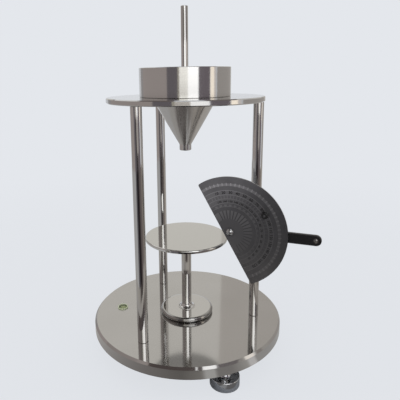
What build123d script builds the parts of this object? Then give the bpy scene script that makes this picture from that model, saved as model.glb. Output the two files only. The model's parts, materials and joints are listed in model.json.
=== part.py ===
# Angle of repose tester: a funnel on a three-post stand above a round sample table,
# with a protractor on an arm that swings round one post.
# Millimetres, +Z up. The origin is on the axis of the stand, in the plane the feet rest on.
# +X points from the axis to the post that carries the protractor.
import os
from math import cos, radians, sin, tan

from build123d import *

os.makedirs("parts", exist_ok=True)

# General fits
running_gap = 0.05
face_gap = 0.05

# Base plate
base_radius = 115.0
base_thickness = 13.5
base_top = 38.0
base_top_chamfer = 2.3
base_bottom_chamfer = 0.5
base_bottom = base_top - base_thickness

# Posts, at equal angles round the axis
post_circle = 83.0
post_radius = 6.0
post_length = 262.0
post_angles = {"right": 0.0, "rear": 120.0, "front": 240.0}
post_end_chamfer = 0.6
post_spigot_radius = 4.0
post_spigot_length = 4.5

# Short spigots that locate the posts in the base and the stem in the table's foot
seat_radius = 4.5
seat_depth = 1.0

# M6 socket screws that hold the posts from below
m6_radius = 3.0
m6_clearance_radius = 3.3
m6_head_radius = 5.0
m6_head_height = 6.0
m6_socket_radius = 2.9
m6_socket_depth = 3.0
m6_length = 18.0
m6_counterbore_radius = 5.5
m6_counterbore_depth = 6.5

# Top plate
plate_radius = 90.0
plate_thickness = 6.0
plate_edge_chamfer = 1.0
plate_hole_radius = 39.5
plate_bottom = base_top + post_length
plate_top = plate_bottom + plate_thickness

# Funnel: a skirt that stands on the top plate and a 60 degree cone inside it
skirt_radius = 52.0
skirt_wall = 2.0
skirt_height = 32.0
skirt_edge_chamfer = 0.5
cone_half_angle = 30.0
cone_wall = 2.0
brazing_gap = 0.1
outlet_radius = 7.0
outlet_bore_radius = 5.0
outlet_length = 7.0
outlet_bottom = 244.0
outlet_top = outlet_bottom + outlet_length
outlet_edge_chamfer = 0.8

# Stopper: a rod with a tapered plug that closes the outlet
rod_radius = 4.0
rod_top = 404.0
rod_end_chamfer = 0.6
plug_bottom = 252.0
plug_seat_height = 6.0
plug_band = 4.0
plug_shoulder = 2.5
plug_socket = 6.0
seat_gap = 0.12

# Sample table, a loose stand on the base
table_radius = 50.0
table_thickness = 4.0
table_upper_rounding = 1.6
table_lower_chamfer = 1.0
table_top = base_top + 100.0
table_bottom = table_top - table_thickness
stem_radius = 6.0
stem_spigot_radius = 4.0
stem_spigot_length = 2.3
stem_flange_radius = 11.0
stem_flange_thickness = 0.3
stem_flange_rounding = 4.6
table_foot_radius = 32.4
table_foot_thickness = 6.4
table_foot_rounding = 3.0
table_foot_recess_radius = 26.0
table_foot_recess = 0.8
table_screw_head_radius = 6.0
table_screw_length = 16.0

# Round bubble level let into the base
level_radius = 6.5
level_circle = 82.5
level_angle = 182.2
level_recess = 4.5
level_cup_height = 5.5
level_cup_floor = 1.5
level_cavity_radius = 5.2
level_lens_thickness = 1.5
level_dome = 0.35
level_bubble_radius = 2.0
level_bubble_depth = 0.5

# Levelling feet
foot_circle = 97.3
foot_angles = {"front": 301.0, "rear": 61.0, "left": 181.0}
pad_radius = 13.0
pad_thickness = 3.0
pad_edge_rounding = 0.5
pad_gap = 0.15
knob_radius = 16.2
knob_bottom = 1.0
knob_top = 12.0
knob_chamfer = 0.8
knob_rim_chamfer = 0.4
neck_radius = 6.5
neck_top = 18.0
stud_radius = 4.0
stud_bottom = 6.0
stud_top = 32.2
stud_hole_depth = 11.0

# Swinging arm on the right post
arm_direction = -13.1
arm_height = 150.7
hub_radius = 13.0
hub_height = 24.0
hub_front = 18.0
arm_width = 12.0
arm_thickness = 4.0
arm_edge_chamfer = 0.7
pivot_reach = -25.2
rivet_reach = 70.0
arm_screw_reach = 9.0
m4_radius = 2.0
m4_head_radius = 4.0
m4_depth = 9.0

# Stop collar under the hub, with its thumb screw at the back
collar_radius = 13.0
collar_height = 12.0
collar_chamfer = 1.0
thumb_shank_radius = 2.5
thumb_head_radius = 5.0
thumb_head_start = 16.0
thumb_head_end = 26.0

# Protractor and its pivot
protractor_radius = 66.0
protractor_thickness = 2.0
protractor_edge = 7.0
protractor_corner = 2.0
protractor_tilt = 60.5
washer_radius = 5.0
washer_thickness = 1.0
pivot_radius = 2.5
pivot_head_radius = 4.4
pivot_head_height = 2.6
nut_flat_radius = 3.5
nut_height = 3.2
turn_knob_place = (-2.2, 47.2)
turn_knob_radius = 3.75
turn_knob_height = 5.0
turn_screw_radius = 1.5
turn_screw_head_radius = 2.8
turn_screw_head_height = 1.4
rivet_radius = 1.6
rivet_head_radius = 3.1
rivet_head_height = 1.6


def save(piece, name):
    piece.part.label = name
    export_step(piece.part, f"parts/{name}.step")


def on_circle(radius, angle, height=0.0):
    return (radius * cos(radians(angle)), radius * sin(radians(angle)), height)


def upright(centre):
    # A vertical drawing plane through a centre line: local x is the radius, local y is the height.
    return Plane(origin=(centre[0], centre[1], 0), x_dir=(1, 0, 0), z_dir=(0, -1, 0))


def centre_line(centre):
    return Axis((centre[0], centre[1], 0), (0, 0, 1))


def cap_radius(radius, height):
    # Radius of the sphere that a cap of this rim radius and height is cut from.
    return (radius**2 + height**2) / (2 * height)


from_below = Plane(origin=(0, 0, base_bottom), x_dir=(1, 0, 0), z_dir=(0, 0, -1))

# Base plate with its post seats, screw holes, foot threads and level recess
level_centre = on_circle(level_circle, level_angle, base_top)
with BuildPart() as base_plate:
    with BuildSketch(Plane.XY.offset(base_bottom)):
        Circle(base_radius)
    extrude(amount=base_thickness)
    chamfer(base_plate.edges().group_by(Axis.Z)[-1], base_top_chamfer)
    chamfer(base_plate.edges().group_by(Axis.Z)[0], base_bottom_chamfer)
    with BuildSketch(Plane.XY.offset(base_top)):
        with PolarLocations(post_circle, len(post_angles)):
            Circle(seat_radius + running_gap)
    extrude(amount=-seat_depth, mode=Mode.SUBTRACT)
    with BuildSketch(Plane.XY.offset(base_top)):
        with Locations(level_centre[:2]):
            Circle(level_radius + running_gap)
    extrude(amount=-level_recess, mode=Mode.SUBTRACT)
    with Locations(from_below):
        with PolarLocations(post_circle, len(post_angles)):
            CounterBoreHole(m6_clearance_radius, m6_counterbore_radius, m6_counterbore_depth)
    # Seen from below, angles run the other way round.
    with Locations(from_below):
        with PolarLocations(foot_circle, len(foot_angles), start_angle=-foot_angles["rear"]):
            Hole(stud_radius + running_gap, stud_hole_depth)
save(base_plate, "base_plate")


# Posts: stand on the base with bevelled ends, a spigot in the top plate and a tapped spigot in the base
def make_post(angle):
    centre = on_circle(post_circle, angle)
    with BuildPart() as post:
        with BuildSketch(Plane((centre[0], centre[1], base_top))):
            Circle(post_radius)
        extrude(amount=post_length)
        chamfer(post.edges().filter_by(GeomType.CIRCLE), post_end_chamfer)
        with BuildSketch(Plane((centre[0], centre[1], plate_bottom))):
            Circle(post_spigot_radius)
        extrude(amount=post_spigot_length)
        with BuildSketch(Plane((centre[0], centre[1], base_top))):
            Circle(seat_radius)
        extrude(amount=-seat_depth)
        with BuildSketch(Plane((centre[0], centre[1], base_top - seat_depth))):
            Circle(m6_radius + running_gap)
        extrude(amount=m6_length - seat_depth, mode=Mode.SUBTRACT)
    return post


for place, angle in post_angles.items():
    save(make_post(angle), f"post_{place}")

# Socket screws under the posts
screw_shoulder = base_bottom + m6_counterbore_depth
with BuildPart() as post_screws:
    with BuildSketch(Plane.XY.offset(screw_shoulder)):
        with PolarLocations(post_circle, len(post_angles)):
            Circle(m6_head_radius)
    extrude(amount=-m6_head_height)
    with BuildSketch(Plane.XY.offset(screw_shoulder)):
        with PolarLocations(post_circle, len(post_angles)):
            Circle(m6_radius)
    extrude(amount=m6_length)
    with BuildSketch(Plane.XY.offset(screw_shoulder - m6_head_height)):
        with PolarLocations(post_circle, len(post_angles)):
            RegularPolygon(m6_socket_radius, 6)
    extrude(amount=m6_socket_depth, mode=Mode.SUBTRACT)
save(post_screws, "post_screws")

# Top plate
with BuildPart() as top_plate:
    with BuildSketch(Plane.XY.offset(plate_bottom)):
        Circle(plate_radius)
        Circle(plate_hole_radius, mode=Mode.SUBTRACT)
    extrude(amount=plate_thickness)
    chamfer(top_plate.edges().filter_by(GeomType.CIRCLE).sort_by(SortBy.RADIUS)[-2:], plate_edge_chamfer)
    with BuildSketch(Plane.XY.offset(plate_bottom)):
        with PolarLocations(post_circle, len(post_angles)):
            Circle(post_spigot_radius + running_gap)
    extrude(amount=post_spigot_length + face_gap, mode=Mode.SUBTRACT)
save(top_plate, "top_plate")

# Funnel skirt
with BuildPart() as funnel_skirt:
    with BuildSketch(Plane.XY.offset(plate_top)):
        Circle(skirt_radius)
        Circle(skirt_radius - skirt_wall, mode=Mode.SUBTRACT)
    extrude(amount=skirt_height)
    chamfer(funnel_skirt.edges().group_by(Axis.Z)[-1], skirt_edge_chamfer)
    chamfer(funnel_skirt.edges().group_by(Axis.Z)[0].sort_by(SortBy.RADIUS)[-1], skirt_edge_chamfer)
save(funnel_skirt, "funnel_skirt")

# Funnel cone: the wall runs up to the inside of the skirt, where it is brazed in
cone_slope = tan(radians(cone_half_angle))
cone_wall_across = cone_wall / cos(radians(cone_half_angle))
cone_rim_radius = skirt_radius - skirt_wall - brazing_gap


def cone_height(radius, across=0.0):
    # Height at which the cone's outer face, moved inwards by across, has this radius.
    return outlet_top + (radius + across - outlet_radius) / cone_slope


with BuildPart() as funnel_cone:
    with BuildSketch(Plane.XZ):
        with BuildLine():
            Polyline(
                (outlet_bore_radius, outlet_top),
                (outlet_radius, outlet_top),
                (cone_rim_radius, cone_height(cone_rim_radius)),
                (cone_rim_radius, cone_height(cone_rim_radius, cone_wall_across)),
                (outlet_bore_radius, cone_height(outlet_bore_radius, cone_wall_across)),
                close=True,
            )
        make_face()
    revolve(axis=Axis.Z)
save(funnel_cone, "funnel_cone")

# Outlet tube under the cone
with BuildPart() as funnel_outlet:
    with BuildSketch(Plane.XY.offset(outlet_bottom)):
        Circle(outlet_radius)
        Circle(outlet_bore_radius, mode=Mode.SUBTRACT)
    extrude(amount=outlet_length)
    chamfer(funnel_outlet.edges().group_by(Axis.Z)[0].sort_by(SortBy.RADIUS)[-1], outlet_edge_chamfer)
save(funnel_outlet, "funnel_outlet")

# Stopper plug: its taper sits on the inside of the cone, just above the bore
plug_across = cone_wall_across + seat_gap
plug_seat_top = plug_bottom + plug_seat_height
plug_bottom_radius = outlet_radius - plug_across + (plug_bottom - outlet_top) * cone_slope
plug_top_radius = plug_bottom_radius + plug_seat_height * cone_slope
plug_top = plug_seat_top + plug_band + plug_shoulder
with BuildPart() as stopper_plug:
    with BuildSketch(Plane.XZ):
        with BuildLine():
            Polyline(
                (0, plug_bottom),
                (plug_bottom_radius, plug_bottom),
                (plug_top_radius, plug_seat_top),
                (plug_top_radius, plug_seat_top + plug_band),
                (plug_top_radius - plug_shoulder, plug_top),
                (rod_radius + running_gap, plug_top),
                (rod_radius + running_gap, plug_top - plug_socket),
                (0, plug_top - plug_socket),
                close=True,
            )
        make_face()
    revolve(axis=Axis.Z)
save(stopper_plug, "stopper_plug")

# Stopper rod
rod_bottom = plug_top - plug_socket
with BuildPart() as stopper_rod:
    with BuildSketch(Plane.XY.offset(rod_bottom)):
        Circle(rod_radius)
    extrude(amount=rod_top - rod_bottom)
    chamfer(stopper_rod.edges().group_by(Axis.Z)[-1], rod_end_chamfer)
save(stopper_rod, "stopper_rod")

# Sample table: disc, stem with a flared foot flange, foot and the screw that joins foot and stem
with BuildPart() as table_disc:
    with BuildSketch(Plane.XY.offset(table_bottom)):
        Circle(table_radius)
    extrude(amount=table_thickness)
    chamfer(table_disc.edges().group_by(Axis.Z)[0], table_lower_chamfer)
    fillet(table_disc.edges().group_by(Axis.Z)[-1], table_upper_rounding)
    with BuildSketch(Plane.XY.offset(table_bottom)):
        Circle(stem_spigot_radius + running_gap)
    extrude(amount=stem_spigot_length + face_gap, mode=Mode.SUBTRACT)
save(table_disc, "table_disc")

table_foot_top = base_top + table_foot_thickness
stem_bottom = table_foot_top - seat_depth
flange_top = table_foot_top + stem_flange_thickness
with BuildPart() as table_stem:
    with BuildSketch(Plane.XY.offset(table_foot_top)):
        Circle(stem_flange_radius)
    extrude(amount=stem_flange_thickness)
    with BuildSketch(Plane.XY.offset(flange_top)):
        Circle(stem_radius)
    extrude(amount=table_bottom - flange_top)
    fillet(
        table_stem.edges().filter_by_position(Axis.Z, flange_top, flange_top).sort_by(SortBy.RADIUS)[0],
        stem_flange_rounding,
    )
    with BuildSketch(Plane.XY.offset(table_foot_top)):
        Circle(seat_radius)
    extrude(amount=-seat_depth)
    with BuildSketch(Plane.XY.offset(table_bottom)):
        Circle(stem_spigot_radius)
    extrude(amount=stem_spigot_length)
    with BuildSketch(Plane.XY.offset(stem_bottom)):
        Circle(m6_radius + running_gap)
    extrude(amount=table_screw_length, mode=Mode.SUBTRACT)
save(table_stem, "table_stem")

foot_screw_face = base_top + table_foot_recess
with BuildPart() as table_foot:
    with BuildSketch(Plane.XY.offset(base_top)):
        Circle(table_foot_radius)
    extrude(amount=table_foot_thickness)
    fillet(table_foot.edges().filter_by(GeomType.CIRCLE), table_foot_rounding)
    with BuildSketch(Plane.XY.offset(base_top)):
        Circle(table_foot_recess_radius)
    extrude(amount=table_foot_recess, mode=Mode.SUBTRACT)
    with BuildSketch(Plane.XY.offset(table_foot_top)):
        Circle(seat_radius + running_gap)
    extrude(amount=-seat_depth, mode=Mode.SUBTRACT)
    with Locations(Plane(origin=(0, 0, foot_screw_face), x_dir=(1, 0, 0), z_dir=(0, 0, -1))):
        CounterSinkHole(m6_clearance_radius, table_screw_head_radius + running_gap, counter_sink_angle=90)
save(table_foot, "table_foot")

with BuildPart() as table_screw:
    with BuildSketch(Plane.XZ):
        with BuildLine():
            Polyline(
                (0, foot_screw_face + face_gap),
                (table_screw_head_radius - face_gap, foot_screw_face + face_gap),
                (m6_radius, foot_screw_face + table_screw_head_radius - m6_radius),
                (m6_radius, foot_screw_face + table_screw_length),
                (0, foot_screw_face + table_screw_length),
                close=True,
            )
        make_face()
    revolve(axis=Axis.Z)
save(table_screw, "table_screw")

# Bubble level: a clear cup, the green liquid with its bubble, and a clear domed lens
cup_bottom = base_top - level_recess
cup_top = cup_bottom + level_cup_height
with BuildPart() as level_cup:
    with BuildSketch(Plane((level_centre[0], level_centre[1], cup_bottom))):
        Circle(level_radius)
    extrude(amount=level_cup_height)
    with BuildSketch(Plane((level_centre[0], level_centre[1], cup_bottom + level_cup_floor))):
        Circle(level_cavity_radius)
    extrude(amount=level_cup_height, mode=Mode.SUBTRACT)
save(level_cup, "level_cup")

with BuildPart() as level_lens:
    with BuildSketch(upright(level_centre)):
        with BuildLine():
            Polyline(
                (level_cavity_radius, cup_top),
                (level_radius, cup_top),
                (level_radius, cup_top + level_lens_thickness),
                (0, cup_top + level_lens_thickness),
                (0, cup_top + level_dome),
            )
            RadiusArc(
                (0, cup_top + level_dome),
                (level_cavity_radius, cup_top),
                cap_radius(level_cavity_radius, level_dome),
            )
        make_face()
    revolve(axis=centre_line(level_centre))
save(level_lens, "level_lens")

with BuildPart() as level_fluid:
    with BuildSketch(upright(level_centre)):
        with BuildLine():
            Polyline(
                (0, cup_top - level_bubble_depth),
                (0, cup_bottom + level_cup_floor),
                (level_cavity_radius, cup_bottom + level_cup_floor),
                (level_cavity_radius, cup_top),
                (level_bubble_radius, cup_top),
            )
            RadiusArc(
                (level_bubble_radius, cup_top),
                (0, cup_top - level_bubble_depth),
                cap_radius(level_bubble_radius, level_bubble_depth),
            )
        make_face()
    revolve(axis=centre_line(level_centre))
save(level_fluid, "level_fluid")


# Levelling feet: rubber pad, knurled knob with its neck, and the stud in the base
def make_pad(centre):
    with BuildPart() as pad:
        with BuildSketch(Plane((centre[0], centre[1], 0))):
            Circle(pad_radius)
        extrude(amount=pad_thickness)
        fillet(pad.edges().group_by(Axis.Z)[0], pad_edge_rounding)
    return pad


def make_knob(centre):
    recess_radius = pad_radius + pad_gap
    with BuildPart() as knob:
        with BuildSketch(upright(centre)):
            with BuildLine():
                Polyline(
                    (recess_radius, knob_bottom),
                    (knob_radius - knob_rim_chamfer, knob_bottom),
                    (knob_radius, knob_bottom + knob_rim_chamfer),
                    (knob_radius, knob_top - knob_rim_chamfer),
                    (knob_radius - knob_rim_chamfer, knob_top),
                    (neck_radius, knob_top),
                    (neck_radius, neck_top - knob_chamfer),
                    (neck_radius - knob_chamfer, neck_top),
                    (stud_radius, neck_top),
                    (stud_radius, stud_bottom),
                    (0, stud_bottom),
                    (0, pad_thickness + face_gap),
                    (recess_radius, pad_thickness + face_gap),
                    close=True,
                )
            make_face()
        revolve(axis=centre_line(centre))
    return knob


def make_stud(centre):
    with BuildPart() as stud:
        with BuildSketch(Plane((centre[0], centre[1], stud_bottom))):
            Circle(stud_radius)
        extrude(amount=stud_top - stud_bottom)
        chamfer(stud.edges().group_by(Axis.Z)[-1], knob_chamfer)
    return stud


for place, angle in foot_angles.items():
    foot_centre = on_circle(foot_circle, angle)
    save(make_pad(foot_centre), f"foot_pad_{place}")
    save(make_knob(foot_centre), f"foot_knob_{place}")
    save(make_stud(foot_centre), f"foot_stud_{place}")

# Drawing planes of the swinging arm: local x runs along the arm, local z out of its front face
post_centre = on_circle(post_circle, post_angles["right"])
along_arm = on_circle(1.0, arm_direction)
out_of_front = on_circle(1.0, arm_direction - 90.0)
arm_plane = Plane(origin=(post_centre[0], post_centre[1], arm_height), x_dir=along_arm, z_dir=out_of_front)
arm_front = hub_front + arm_thickness
protractor_back = arm_front + washer_thickness
protractor_front = protractor_back + protractor_thickness
hub_bottom = arm_height - hub_height / 2
collar_top = hub_bottom - face_gap


def arm_section(reach):
    # A plane through a fastener's centre line: local x is its radius, local y is the depth towards the front.
    centre = arm_plane.from_local_coords((reach, 0, 0))
    return Plane(origin=centre, x_dir=along_arm, z_dir=(0, 0, -1))


def fastener_line(reach):
    return Axis(arm_plane.from_local_coords((reach, 0, 0)), out_of_front)


# Hub: turns on the post and carries the arm on its flat front
with BuildPart() as swivel_hub:
    with BuildSketch(Plane(origin=(post_centre[0], post_centre[1], hub_bottom), x_dir=along_arm)):
        Circle(hub_radius)
        Rectangle(2 * hub_radius, hub_front, align=(Align.CENTER, Align.MAX))
        Circle(post_radius + running_gap, mode=Mode.SUBTRACT)
    extrude(amount=hub_height)
    with Locations(arm_plane.offset(hub_front)):
        with Locations((-arm_screw_reach, 0), (arm_screw_reach, 0)):
            Hole(m4_radius + running_gap, m4_depth)
save(swivel_hub, "swivel_hub")

# Arm: a flat bar with round ends, bevelled along its front edges
with BuildPart() as arm:
    with BuildSketch(arm_plane.offset(hub_front)):
        with Locations(((pivot_reach + rivet_reach) / 2, 0)):
            SlotCenterToCenter(rivet_reach - pivot_reach, arm_width)
    extrude(amount=arm_thickness)
    chamfer(arm.faces().sort_by(Axis(arm_plane.origin, out_of_front))[-1].edges(), arm_edge_chamfer)
    with Locations(arm_plane.offset(arm_front)):
        with Locations((pivot_reach, 0)):
            Hole(pivot_radius + running_gap)
        with Locations((rivet_reach, 0)):
            Hole(rivet_radius + running_gap)
        with Locations((-arm_screw_reach, 0), (arm_screw_reach, 0)):
            CounterSinkHole(m4_radius + 2 * running_gap, m4_head_radius + running_gap, counter_sink_angle=90)
save(arm, "arm")

# Flush screws through the arm into the hub
with BuildPart() as arm_screws:
    for reach in (-arm_screw_reach, arm_screw_reach):
        with BuildSketch(arm_section(reach)):
            with BuildLine():
                Polyline(
                    (0, arm_front - face_gap),
                    (m4_head_radius - face_gap, arm_front - face_gap),
                    (m4_radius, arm_front - m4_head_radius + m4_radius),
                    (m4_radius, hub_front - m4_depth + face_gap),
                    (0, hub_front - m4_depth + face_gap),
                    close=True,
                )
            make_face()
        revolve(axis=fastener_line(reach))
save(arm_screws, "arm_screws")


def dome(radius, height, start):
    # Half outline of a domed head: the arc from the centre of its crown to its rim.
    return RadiusArc((0, start + height), (radius, start), -cap_radius(radius, height))


# Rivet at the outer end of the arm
with BuildPart() as arm_rivet:
    with BuildSketch(arm_section(rivet_reach)):
        with BuildLine():
            dome(rivet_head_radius, rivet_head_height, arm_front)
            Polyline(
                (rivet_head_radius, arm_front),
                (rivet_radius, arm_front),
                (rivet_radius, hub_front),
                (rivet_head_radius, hub_front),
                (rivet_head_radius, hub_front - rivet_head_height / 2),
                (0, hub_front - rivet_head_height / 2),
                (0, arm_front + rivet_head_height),
            )
        make_face()
    revolve(axis=fastener_line(rivet_reach))
save(arm_rivet, "arm_rivet")

# Pivot screw with its shoulder, the washer behind the protractor and the nut behind the arm
pivot_head_start = protractor_front + face_gap
pivot_thread_end = hub_front - nut_height - m4_radius / 2
with BuildPart() as pivot_screw:
    with BuildSketch(arm_section(pivot_reach)):
        with BuildLine():
            dome(pivot_head_radius, pivot_head_height, pivot_head_start)
            Polyline(
                (pivot_head_radius, pivot_head_start),
                (pivot_radius, pivot_head_start),
                (pivot_radius, hub_front),
                (m4_radius, hub_front),
                (m4_radius, pivot_thread_end),
                (0, pivot_thread_end),
                (0, pivot_head_start + pivot_head_height),
            )
        make_face()
    revolve(axis=fastener_line(pivot_reach))
save(pivot_screw, "pivot_screw")

with BuildPart() as pivot_washer:
    with BuildSketch(arm_plane.offset(arm_front)):
        with Locations((pivot_reach, 0)):
            Circle(washer_radius)
            Circle(pivot_radius + running_gap, mode=Mode.SUBTRACT)
    extrude(amount=washer_thickness - face_gap)
save(pivot_washer, "pivot_washer")

with BuildPart() as pivot_nut:
    with BuildSketch(arm_plane.offset(hub_front)):
        with Locations((pivot_reach, 0)):
            RegularPolygon(nut_flat_radius, 6, major_radius=False)
            Circle(m4_radius + running_gap, mode=Mode.SUBTRACT)
    extrude(amount=-nut_height)
save(pivot_nut, "pivot_nut")

# Stop collar on the post, which carries the hub
collar_bottom = collar_top - collar_height
collar_middle = collar_top - collar_height / 2
behind = on_circle(1.0, arm_direction + 90.0)
thumb_plane = Plane(origin=(post_centre[0], post_centre[1], collar_middle), x_dir=along_arm, z_dir=behind)
with BuildPart() as stop_collar:
    with BuildSketch(Plane((post_centre[0], post_centre[1], collar_bottom))):
        Circle(collar_radius)
        Circle(post_radius + running_gap, mode=Mode.SUBTRACT)
    extrude(amount=collar_height)
    chamfer(stop_collar.edges().filter_by(GeomType.CIRCLE).sort_by(SortBy.RADIUS)[-2:], collar_chamfer)
    with BuildSketch(thumb_plane):
        Circle(thumb_shank_radius + running_gap)
    extrude(amount=collar_radius + collar_chamfer, mode=Mode.SUBTRACT)
save(stop_collar, "stop_collar")

# Thumb screw that clamps the collar
thumb_tip = post_radius + 2 * face_gap
with BuildPart() as collar_screw:
    with BuildSketch(thumb_plane.offset(thumb_tip)):
        Circle(thumb_shank_radius)
    extrude(amount=thumb_head_start - thumb_tip)
    with BuildSketch(thumb_plane.offset(thumb_head_start)):
        Circle(thumb_head_radius)
    extrude(amount=thumb_head_end - thumb_head_start)
    chamfer(collar_screw.edges().filter_by(GeomType.CIRCLE).sort_by(SortBy.RADIUS)[-2:], knob_chamfer)
save(collar_screw, "collar_screw")

# Protractor: a half disc that runs on past its centre to the straight edge
tilt_x = (cos(radians(protractor_tilt)), -sin(radians(protractor_tilt)), 0)
pivot_back = arm_plane.from_local_coords((pivot_reach, 0, protractor_back))
tilted_edge = arm_plane.from_local_coords((pivot_reach + tilt_x[0], tilt_x[1], protractor_back)) - pivot_back
protractor_plane = Plane(origin=pivot_back, x_dir=tilted_edge, z_dir=out_of_front)
with BuildPart() as protractor:
    with BuildSketch(protractor_plane) as outline:
        Circle(protractor_radius)
        with Locations((0, -protractor_edge)):
            Rectangle(
                2 * protractor_radius,
                protractor_radius,
                align=(Align.CENTER, Align.MAX),
                mode=Mode.SUBTRACT,
            )
        fillet(outline.vertices(), protractor_corner)
        Circle(pivot_radius + running_gap, mode=Mode.SUBTRACT)
        with Locations(turn_knob_place):
            Circle(turn_screw_radius + running_gap, mode=Mode.SUBTRACT)
    extrude(amount=protractor_thickness)
save(protractor, "protractor")

# Small knob for turning the protractor, held by a screw from the back
knob_seat = protractor_plane.offset(protractor_thickness)
with BuildPart() as turning_knob:
    with BuildSketch(knob_seat):
        with Locations(turn_knob_place):
            Circle(turn_knob_radius)
    extrude(amount=turn_knob_height)
    fillet(turning_knob.faces().sort_by(Axis(pivot_back, out_of_front))[-1].edges(), turn_knob_height / 5)
    with BuildSketch(knob_seat):
        with Locations(turn_knob_place):
            Circle(turn_screw_radius + running_gap)
    extrude(amount=turn_knob_height, mode=Mode.SUBTRACT)
save(turning_knob, "turning_knob")

with BuildPart() as knob_screw:
    with BuildSketch(protractor_plane):
        with Locations(turn_knob_place):
            Circle(turn_screw_head_radius)
    extrude(amount=-turn_screw_head_height)
    with BuildSketch(protractor_plane):
        with Locations(turn_knob_place):
            Circle(turn_screw_radius)
    extrude(amount=protractor_thickness + turn_knob_height - knob_chamfer)
save(knob_screw, "knob_screw")
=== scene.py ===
import json
import math

import bpy
from mathutils import Matrix, Vector


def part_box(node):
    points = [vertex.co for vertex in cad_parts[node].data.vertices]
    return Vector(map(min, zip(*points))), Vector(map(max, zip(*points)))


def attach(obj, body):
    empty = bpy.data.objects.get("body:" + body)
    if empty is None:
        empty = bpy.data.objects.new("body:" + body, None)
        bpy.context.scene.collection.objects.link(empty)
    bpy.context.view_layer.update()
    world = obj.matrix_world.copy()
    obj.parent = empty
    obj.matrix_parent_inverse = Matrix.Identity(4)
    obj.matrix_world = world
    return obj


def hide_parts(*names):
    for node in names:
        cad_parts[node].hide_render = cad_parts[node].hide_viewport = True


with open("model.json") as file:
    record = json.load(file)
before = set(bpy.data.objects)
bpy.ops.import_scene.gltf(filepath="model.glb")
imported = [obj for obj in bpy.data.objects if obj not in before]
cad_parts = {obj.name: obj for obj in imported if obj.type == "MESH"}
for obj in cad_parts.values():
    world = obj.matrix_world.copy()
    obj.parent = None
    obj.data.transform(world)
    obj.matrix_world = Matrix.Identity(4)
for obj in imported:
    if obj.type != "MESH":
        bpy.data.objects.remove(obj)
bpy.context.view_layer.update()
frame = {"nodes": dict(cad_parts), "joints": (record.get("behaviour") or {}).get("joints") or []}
nodes = frame["nodes"]
joints = {joint["name"]: joint for joint in frame["joints"]}
scene = bpy.context.scene
scene.view_settings.view_transform = "Standard"
mm = 0.001
upright = Vector((0, 0, 1))

# camera, fitted to the outlines of the photograph
cameraSetup = {
    "place": (56.78, -503.23, 328.95),  # mm
    "heading": 98.25,  # degrees from +X towards +Y
    "pitch": -12.236,
    "roll": -0.866,
    "focalPixels": 437.13,
    "imageSide": 400,
    "sensor": 36.0,
    "shift": (0.0697, -0.0733),  # the photo is cut from a wider frame
    "nearest": 0.01,  # m
}


def addCamera(setup):
    heading, pitch, roll = (math.radians(setup[key]) for key in ("heading", "pitch", "roll"))
    level = Vector((math.sin(heading), -math.cos(heading), 0))
    ahead = Vector((math.cos(heading), math.sin(heading), 0))
    look = ahead * math.cos(pitch) + upright * math.sin(pitch)
    above = level.cross(look)
    right = level * math.cos(roll) + above * math.sin(roll)
    up = above * math.cos(roll) - level * math.sin(roll)
    lens = bpy.data.cameras.new("photoCamera")
    lens.sensor_width = setup["sensor"]
    lens.lens = setup["focalPixels"] * setup["sensor"] / setup["imageSide"]
    lens.shift_x, lens.shift_y = setup["shift"]
    lens.clip_start = setup["nearest"]
    eye = bpy.data.objects.new("photoCamera", lens)
    turn = Matrix((right, up, -look)).transposed().to_4x4()
    eye.matrix_world = Matrix.Translation(Vector(setup["place"]) * mm) @ turn
    scene.collection.objects.link(eye)
    scene.camera = eye


addCamera(cameraSetup)
print("camera placed")


# nodes, colours and meshes
def toLinear(hexCode):
    shares = [int(hexCode[i:i + 2], 16) / 255 for i in (1, 3, 5)]
    return tuple(c / 12.92 if c <= 0.04045 else ((c + 0.055) / 1.055) ** 2.4 for c in shares) + (1.0,)


def addNode(tree, kind, values=None, links=None, **settings):
    node = tree.nodes.new(kind)
    for name, value in settings.items():
        setattr(node, name, value)
    for socket, value in (values or {}).items():
        node.inputs[socket].default_value = value
    for socket, source in (links or {}).items():
        tree.links.new(source, node.inputs[socket])
    return node


def startMaterial(name):
    material = bpy.data.materials.new(name)
    material.use_nodes = True
    material.node_tree.nodes.clear()
    return material, material.node_tree


def endMaterial(tree, values, links):
    shader = addNode(tree, "ShaderNodeBsdfPrincipled", values, links)
    addNode(tree, "ShaderNodeOutputMaterial", links={"Surface": shader.outputs[0]})


def perMm(size):
    return 1 / (size * mm)  # pattern scale for one feature of this many mm


def tintAndGloss(tree, look, tone, gloss):
    # the colour follows one pattern and the roughness another
    tint = addNode(
        tree, "ShaderNodeMix", {"A": toLinear(look["dark"]), "B": toLinear(look["light"])},
        {"Factor": tone}, data_type="RGBA",
    )
    low, high = look["roughness"]
    rough = addNode(tree, "ShaderNodeMapRange", {"To Min": low, "To Max": high}, {"Value": gloss})
    return tint.outputs["Result"], rough.outputs[0]


def toneBelow(tree, place, colour, hexCode, span):
    # painted shade: a darker tone below a height, the change takes a short span in metres
    height = addNode(tree, "ShaderNodeSeparateXYZ", links={0: place}).outputs["Z"]
    start, end = span
    share = addNode(tree, "ShaderNodeMapRange", {"From Min": start, "From Max": end}, {"Value": height})
    mix = addNode(
        tree, "ShaderNodeMix", {"A": toLinear(hexCode)},
        {"Factor": share.outputs[0], "B": colour}, data_type="RGBA",
    )
    return mix.outputs["Result"]


def addMesh(name, points, faces, material, sharpAngle=None):
    mesh = bpy.data.meshes.new(name)
    mesh.from_pydata([tuple(point) for point in points], [], faces)
    mesh.validate()
    mesh.materials.append(material)
    if sharpAngle:
        mesh.shade_smooth()
        mesh.set_sharp_from_angle(angle=math.radians(sharpAngle))
    piece = bpy.data.objects.new(name, mesh)
    scene.collection.objects.link(piece)
    return piece


def wear(nodeNames, material):
    for name in nodeNames:
        nodes[name].data.materials[0] = material


quarterTurn = 0.25  # highlights are drawn out across the tangent

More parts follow.
